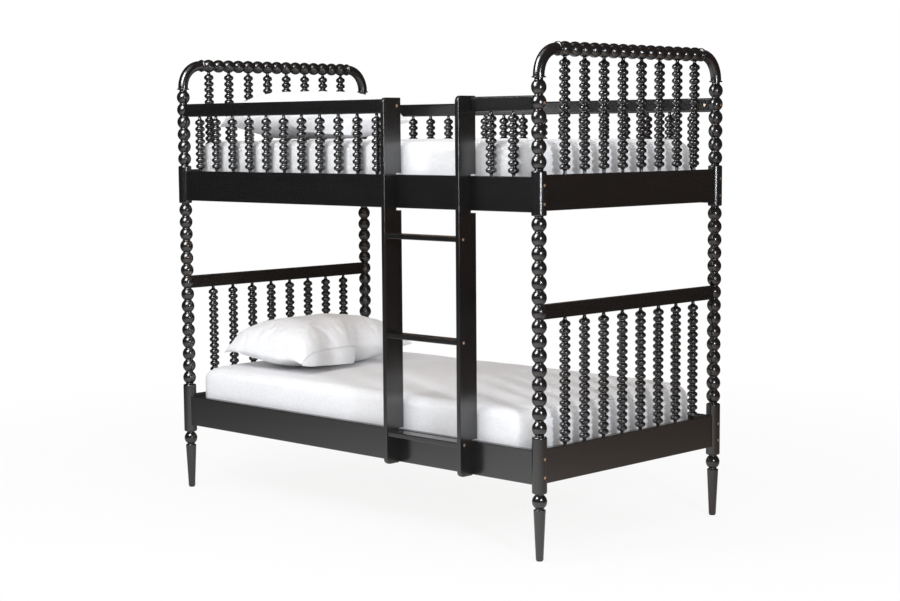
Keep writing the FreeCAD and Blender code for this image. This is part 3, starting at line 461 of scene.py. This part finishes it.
def mesh_object(name, points, faces):
    mesh = bpy.data.meshes.new(name)
    mesh.from_pydata([tuple(map(float, p)) for p in points], [], faces)
    mesh.validate()
    mesh.shade_smooth()
    obj = bpy.data.objects.new(name, mesh)
    scene.collection.objects.link(obj)
    return obj


# Pillow: a sewn case with a formula for its broad shape, and creases from a cloth simulation. Along
# the case, s runs from head to foot and t from front to back, both from -1 to 1

PILLOW_CELLS = (60, 76)
PILLOW_CROWN = 0.196            # over the mattress
PILLOW_BELLY = 0.105            # below the seam, before the mattress stops it
PILLOW_REST = 0.0012            # the belly's lowest, over the mattress
PILLOW_REST_ROUND = 0.012       # height over which the belly flattens
LONG_SEAM_DRAW = 0.12           # share of the half width that each seam draws in between the corners
SHORT_SEAM_DRAW = 0.015
WANDER_LENGTH = 0.07            # slight unevenness of the filling
WANDER_HEIGHT = 0.0016
CREASE_PASSES = 30              # of smoothing, that part the creases from the broad shape
CREASE_SHARE_OVER = 0.9
CREASE_SHARE_UNDER = 0.3
# height of the seam over the mattress, from corner to corner
SEAM_FRONT = ((-1, 0.050), (-0.93, 0.062), (-0.8, 0.070), (-0.55, 0.071), (-0.33, 0.069),
              (0.04, 0.060), (0.36, 0.058), (0.66, 0.060), (0.8, 0.056), (0.92, 0.048), (1, 0.042))
SEAM_RIGHT = ((-1, 0.042), (-0.93, 0.058), (-0.84, 0.073), (-0.68, 0.084), (-0.46, 0.088),
              (-0.1, 0.088), (0.3, 0.084), (1, 0.074))
SEAM_BACK = ((-1, 0.062), (0, 0.070), (1, 0.074))
SEAM_LEFT = ((-1, 0.050), (-0.8, 0.063), (0.5, 0.068), (1, 0.062))
# the case's open end hangs from the right seam: how far along it, and the height of its hem
FLAP_HEM = ((-1, 0.040), (-0.84, 0.030), (-0.4, 0.021), (0.03, 0.016))
FLAP_START = -0.99
FLAP_CELLS = (44, 6)
FLAP_THICKNESS = 0.0022
FLAP_LEAN = 0.05                # towards the front, at the hem of its far end
FLAP_LEAN_START = -0.6
FLAP_BULGE = 0.0045
FLAP_BULGE_TURN = 0.8 * math.pi
FLAP_WAVE_LENGTH = 0.05
FLAP_WAVE = 0.0016
CLOTH_FRAMES = 16
CLOTH = {
    "quality": 6,
    "mass": 0.25,
    "tension_stiffness": 18,
    "compression_stiffness": 10,
    "shear_stiffness": 6,
    "bending_stiffness": 0.3,
    "shrink_min": -0.035,
    "use_pressure": True,
    "uniform_pressure_force": 2.0,
    "air_damping": 4,
}


def fullness(s, t):
    """How full the case is over and under the seam, from 0 at the seam to 1 in the middle."""
    over = ((1 - np.abs(s) ** 3.6) * (1 - t ** 4)) ** 0.68
    under = ((1 - s ** 2) * (1 - t ** 2)) ** 0.6
    return over, under


def seam_height(s, t):
    """The seam's own height on the edges, spread smoothly over the inside."""
    front, right, back, left = [np.interp(along_it, *zip(*table)) for along_it, table in
                                ((s, SEAM_FRONT), (t, SEAM_RIGHT), (s, SEAM_BACK), (t, SEAM_LEFT))]
    u, v = (s + 1) / 2, (t + 1) / 2
    corners = ((1 - u) * (1 - v) * SEAM_FRONT[0][1] + u * (1 - v) * SEAM_FRONT[-1][1]
               + u * v * SEAM_BACK[-1][1] + (1 - u) * v * SEAM_BACK[0][1])
    return (1 - v) * front + v * back + u * right + (1 - u) * left - corners


def pillow_sheets(half_x, half_y):
    """Two sheets joined along their edges: places over the mattress, faces, and (s, t, side) of each."""
    nx, ny = PILLOW_CELLS
    grid, faces, index = [], [], {}
    for side in (1, -1):
        for i in range(nx + 1):
            for j in range(ny + 1):
                edge = i in (0, nx) or j in (0, ny)
                if edge and side < 0:
                    index[(side, i, j)] = index[(1, i, j)]
                    continue
                index[(side, i, j)] = len(grid)
                grid.append((2 * i / nx - 1, 2 * j / ny - 1, 0 if edge else side))
        for i in range(nx):
            for j in range(ny):
                loop = [index[(side, i, j)], index[(side, i + 1, j)],
                        index[(side, i + 1, j + 1)], index[(side, i, j + 1)]]
                faces.append(loop if side > 0 else loop[::-1])
    grid = np.array(grid, dtype=float)
    s, t, side = grid.T
    mid = seam_height(s, t)
    over, under = fullness(s, t)
    z = np.where(side > 0, mid + (PILLOW_CROWN - mid) * over, mid - PILLOW_BELLY * under)
    x = half_x * s * (1 - LONG_SEAM_DRAW * (1 - t * t))
    y = half_y * t * (1 - SHORT_SEAM_DRAW * (1 - s * s))
    return np.c_[x, y, np.where(side == 0, mid, z)], faces, grid


def fill_case(case, seam):
    """Run the cloth simulation on a case held by its seam, and give its last shape."""
    held = case.vertex_groups.new(name="seam")
    held.add([int(i) for i in seam], 1.0, "REPLACE")
    cloth = case.modifiers.new("cloth", "CLOTH")
    for key, value in CLOTH.items():
        setattr(cloth.settings, key, value)
    cloth.settings.vertex_group_mass = held.name
    cloth.settings.effector_weights.gravity = 0
    cloth.collision_settings.use_collision = False
    cloth.collision_settings.use_self_collision = False
    cloth.point_cache.frame_start, cloth.point_cache.frame_end = 1, CLOTH_FRAMES
    scene.frame_start, scene.frame_end = 1, CLOTH_FRAMES
    for f in range(1, CLOTH_FRAMES + 1):
        scene.frame_set(f)
    evaluated = case.evaluated_get(bpy.context.evaluated_depsgraph_get())
    flat = np.empty(len(evaluated.data.vertices) * 3)
    evaluated.data.vertices.foreach_get("co", flat)
    case.modifiers.remove(cloth)
    scene.frame_set(1)
    return flat.reshape(-1, 3)


def sheet_creases(sheet):
    """What a sheet's heights keep when their broad shape is taken away."""
    broad = sheet.copy()
    for _ in range(CREASE_PASSES):
        wide = np.pad(broad, 1, mode="edge")
        broad = (wide[:-2, 1:-1] + wide[2:, 1:-1] + wide[1:-1, :-2] + wide[1:-1, 2:] + 4 * broad) / 8
    return sheet - broad


def case_creases(z, mid):
    """The creases of both sheets, where z are the simulated heights and mid those of the seam."""
    rows, columns = PILLOW_CELLS[0] + 1, PILLOW_CELLS[1] + 1
    over = rows * columns
    top = sheet_creases(z[:over].reshape(rows, columns))
    belly = mid[:over].reshape(rows, columns).copy()
    belly[1:-1, 1:-1] = z[over:].reshape(rows - 2, columns - 2)
    belly = sheet_creases(belly)[1:-1, 1:-1]
    return np.concatenate([top.ravel() * CREASE_SHARE_OVER, belly.ravel() * CREASE_SHARE_UNDER])


def pillow_flap(half_x, half_y, seed, first):
    """The open end of the case, folded down from the right seam: a thin closed strip."""
    nu, nv = FLAP_CELLS
    flap_end = FLAP_HEM[-1][0]
    t = np.linspace(FLAP_START, flap_end, nu + 1)
    top = np.interp(t, *zip(*SEAM_RIGHT))
    hem = np.interp(t, *zip(*FLAP_HEM))
    points, faces = [], []
    for face in (1, -1):
        for k in range(nv + 1):
            down = k / nv
            lean = t - FLAP_LEAN * down * smooth(FLAP_LEAN_START, flap_end, t)
            x = (half_x * (1 - LONG_SEAM_DRAW * (1 - t * t))
                 + FLAP_BULGE * math.sin(FLAP_BULGE_TURN * down))
            z = top + (hem - top) * down
            x = x + FLAP_WAVE * soft_noise(np.c_[x, half_y * t, z], FLAP_WAVE_LENGTH, seed) * down
            x = x + face * FLAP_THICKNESS / 2
            points.extend(zip(x, half_y * lean, z))
    row = nu + 1

    def at(face, k, i):
        return first + (0 if face > 0 else (nv + 1) * row) + k * row + i

    for k in range(nv):
        for i in range(nu):
            faces.append([at(1, k, i), at(1, k + 1, i), at(1, k + 1, i + 1), at(1, k, i + 1)])
            faces.append([at(-1, k, i), at(-1, k, i + 1), at(-1, k + 1, i + 1), at(-1, k + 1, i)])
    rim = ([(0, i) for i in range(nu)] + [(k, nu) for k in range(nv)]
           + [(nv, i) for i in range(nu, 0, -1)] + [(k, 0) for k in range(nv, 0, -1)])
    for (k, i), (k2, i2) in zip(rim, rim[1:] + rim[:1]):
        faces.append([at(1, k, i), at(1, k2, i2), at(-1, k2, i2), at(-1, k, i)])
    return points, faces


def make_pillow(name, node, deck_top, seed):
    lo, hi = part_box(node)
    half_x, half_y = (hi[0] - lo[0]) / 2, (hi[1] - lo[1]) / 2
    points, faces, grid = pillow_sheets(half_x, half_y)
    s, t, side = grid.T
    pattern = mesh_object(name + "_pattern", points, faces)
    points = fill_case(pattern, np.flatnonzero(side == 0))
    bpy.data.objects.remove(pattern)
    x, y, z = points.T
    mid = seam_height(s, t)
    over, under = fullness(s, t)
    broad = np.where(side > 0, (PILLOW_CROWN - mid) * over, -PILLOW_BELLY * under)
    z = mid + np.where(side == 0, 0, broad + case_creases(z, mid))
    wander = soft_noise(np.c_[x, y, z * 3], WANDER_LENGTH, seed)
    z = z + WANDER_HEIGHT * wander * (1 - s ** 4) * (1 - t ** 4)
    flat_from = PILLOW_REST + PILLOW_REST_ROUND
    flattened = PILLOW_REST + PILLOW_REST_ROUND * np.exp((z - flat_from) / PILLOW_REST_ROUND)
    z = np.where(z < flat_from, flattened, z)
    flap_points, flap_faces = pillow_flap(half_x, half_y, seed, len(points))
    everything = np.vstack([np.c_[x, y, z], np.array(flap_points)])
    everything += ((lo[0] + hi[0]) / 2, (lo[1] + hi[1]) / 2, deck_top)
    pillow = mesh_object(name, everything, faces + flap_faces)
    finer = pillow.modifiers.new("finer", "SUBSURF")
    finer.levels = finer.render_levels = 1
    return pillow


# Mattress in a fitted sheet: a round-edged block with a shallow crown

MATTRESS_CELLS = (118, 56)              # between the rounded corners
MATTRESS_CORNER_CELLS = 7
MATTRESS_CORNER = 0.075
MATTRESS_TOP_SIDE_R = 0.038
MATTRESS_TOP_END_R = 0.062
MATTRESS_LOW_R = 0.018
MATTRESS_CROWN = 0.006
EDGE_TOP_STEPS = 8
EDGE_SIDE_STEPS = 10
EDGE_LOW_STEPS = 4
SWELL_LENGTH = 0.22                     # shallow swells all over
SWELL = 0.0016
SWELL_OVER = 0.8                        # share of it that lifts the top
PUCKER_LENGTH = 0.03                    # puckers near the tucked-in lower edge
PUCKER = 0.0011


def grid_line(half, cells):
    """Places across the mattress as (side, share of the corner's rounding, place between corners)."""
    flat = half - MATTRESS_CORNER
    corner = [k / MATTRESS_CORNER_CELLS for k in range(MATTRESS_CORNER_CELLS + 1)]
    low = [(-1, 1 - f, None) for f in corner[:-1]]
    middle = [(0, 0, -flat + 2 * flat * i / cells) for i in range(cells + 1)]
    high = [(1, f, None) for f in corner[1:]]
    return low + middle + high


def plan_point(u, v, flat_x, flat_y, radius):
    """Where two grid lines cross when the plan's corners are rounded with this radius."""
    su, fu, cu = u
    sv, fv, cv = v
    x = cu if su == 0 else su * flat_x
    y = cv if sv == 0 else sv * flat_y
    dx = su * radius * fu
    dy = sv * radius * fv
    if su and sv:
        dx, dy = dx * math.sqrt(1 - fv * fv / 2), dy * math.sqrt(1 - fu * fu / 2)
    return x + dx, y + dy


def edge_profile(top_r, top_z, low_z):
    """Down the edge: share of the top's inset, inset at the lower edge, and height."""
    side_top, side_low = top_z - top_r, low_z + MATTRESS_LOW_R
    profile = []
    for k in range(1, EDGE_TOP_STEPS + 1):
        angle = k / EDGE_TOP_STEPS * math.pi / 2
        profile.append((1 - math.sin(angle), 0, top_z - top_r * (1 - math.cos(angle))))
    for k in range(1, EDGE_SIDE_STEPS):
        profile.append((0, 0, side_top + (side_low - side_top) * k / EDGE_SIDE_STEPS))
    for k in range(EDGE_LOW_STEPS + 1):
        angle = k / EDGE_LOW_STEPS * math.pi / 2
        profile.append((0, MATTRESS_LOW_R * (1 - math.cos(angle)),
                        low_z + MATTRESS_LOW_R * (1 - math.sin(angle))))
    return profile


def mattress_block(half_x, half_y, low_z, top_z):
    """The block's points, with its flat top first, its faces, and how many points the top has."""
    us, vs = grid_line(half_x, MATTRESS_CELLS[0]), grid_line(half_y, MATTRESS_CELLS[1])
    nu, nv = len(us), len(vs)
    rim = ([(i, 0) for i in range(nu - 1)] + [(nu - 1, j) for j in range(nv - 1)]
           + [(i, nv - 1) for i in range(nu - 1, 0, -1)] + [(0, j) for j in range(nv - 1, 0, -1)])
    points, faces = [], []

    def add_point(i, j, in_x, in_y, z):
        """Where two grid lines cross, drawn in by the given lengths at the sides."""
        x, y = plan_point(us[i], vs[j], half_x - MATTRESS_CORNER, half_y - MATTRESS_CORNER,
                          MATTRESS_CORNER)
        points.append((x * (half_x - in_x) / half_x, y * (half_y - in_y) / half_y, z))
        return len(points) - 1

    def add_sheet(index, upward):
        for i in range(nu - 1):
            for j in range(nv - 1):
                loop = [index[i, j], index[i + 1, j], index[i + 1, j + 1], index[i, j + 1]]
                faces.append(loop if upward else loop[:1] + loop[:0:-1])

    def top_r(i, j):
        """The top edge's radius, larger at the mattress's ends than at its sides."""
        if us[i][0] and vs[j][0]:
            x, y = plan_point(us[i], vs[j], 0, 0, 1)
            end_share = abs(x) / math.hypot(x, y)
        else:
            end_share = 1 if i in (0, nu - 1) else 0
        return (MATTRESS_TOP_SIDE_R
                + (MATTRESS_TOP_END_R - MATTRESS_TOP_SIDE_R) * smooth(0.2, 1.0, end_share))

    top = {(i, j): add_point(i, j, MATTRESS_TOP_END_R, MATTRESS_TOP_SIDE_R, top_z)
           for i in range(nu) for j in range(nv)}
    add_sheet(top, upward=True)
    profiles = [edge_profile(top_r(i, j), top_z, low_z) for i, j in rim]
    ring = [top[ij] for ij in rim]
    for level in zip(*profiles):
        below = [add_point(i, j, MATTRESS_TOP_END_R * share + low_in,
                           MATTRESS_TOP_SIDE_R * share + low_in, z)
                 for (i, j), (share, low_in, z) in zip(rim, level)]
        for a in range(len(rim)):
            b = (a + 1) % len(rim)
            faces.append([ring[a], below[a], below[b], ring[b]])
        ring = below
    low = dict(zip(rim, ring))
    for i in range(nu):
        for j in range(nv):
            if (i, j) not in low:
                low[i, j] = add_point(i, j, MATTRESS_LOW_R, MATTRESS_LOW_R, low_z)
    add_sheet(low, upward=False)
    return np.array(points), faces, nu * nv


def make_mattress(name, node, seed):
    lo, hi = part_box(node)
    half_x, half_y = (hi[0] - lo[0]) / 2, (hi[1] - lo[1]) / 2
    low_z, top_z = lo[2], hi[2] - SHEET_UNDER - MATTRESS_CROWN
    xyz, faces, top_count = mattress_block(half_x, half_y, low_z, top_z)
    across = xyz[:, :2] / (half_x, half_y)
    crown = MATTRESS_CROWN * np.prod(1 - across[:top_count] ** 2, axis=1)
    xyz[:top_count, 2] = top_z + crown
    # slight unevenness of the sheet, outward on its sides and upward on its top
    height = (xyz[:, 2] - low_z) / (top_z - low_z)
    swell = SWELL * soft_noise(xyz * (1, 1, 1.6), SWELL_LENGTH, seed)
    pucker = PUCKER * soft_noise(xyz * (1, 1, 0.25), PUCKER_LENGTH, seed + 1) * smooth(0.75, 0.1, height)
    outward = np.sign(across) * smooth(0.86, 1.0, np.abs(across))
    outward /= np.maximum(np.linalg.norm(outward, axis=1, keepdims=True), 1e-6)
    side_share = smooth(0.97, 0.7, height) * smooth(0.02, 0.2, height)
    xyz[:, :2] += outward * ((swell + pucker) * side_share)[:, None]
    xyz[:, 2] += swell * smooth(0.8, 1.0, height) * SWELL_OVER
    xyz[:, :2] += ((hi[0] + lo[0]) / 2, (hi[1] + lo[1]) / 2)
    return mesh_object(name, xyz, faces)


def make_bedding():
    white = cotton("white_cotton")
    for deck, seed in (("lower", 3), ("upper", 8)):
        mattress = make_mattress(deck + "_mattress_sheet", deck + "_mattress", seed)
        mattress.data.materials.append(white)
        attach(mattress, deck + "_mattress")
        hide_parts(deck + "_mattress")
        deck_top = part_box(deck + "_mattress")[1][2] - SHEET_UNDER
        pillow = make_pillow(deck + "_pillow_case", deck + "_pillow", deck_top, seed + 20)
        pillow.data.materials.append(white)
        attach(pillow, deck + "_pillow")
        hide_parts(deck + "_pillow")


make_camera()
make_lamps()
make_world()
make_floor()
give_materials()
make_bedding()
scene.view_settings.view_transform = "Standard"
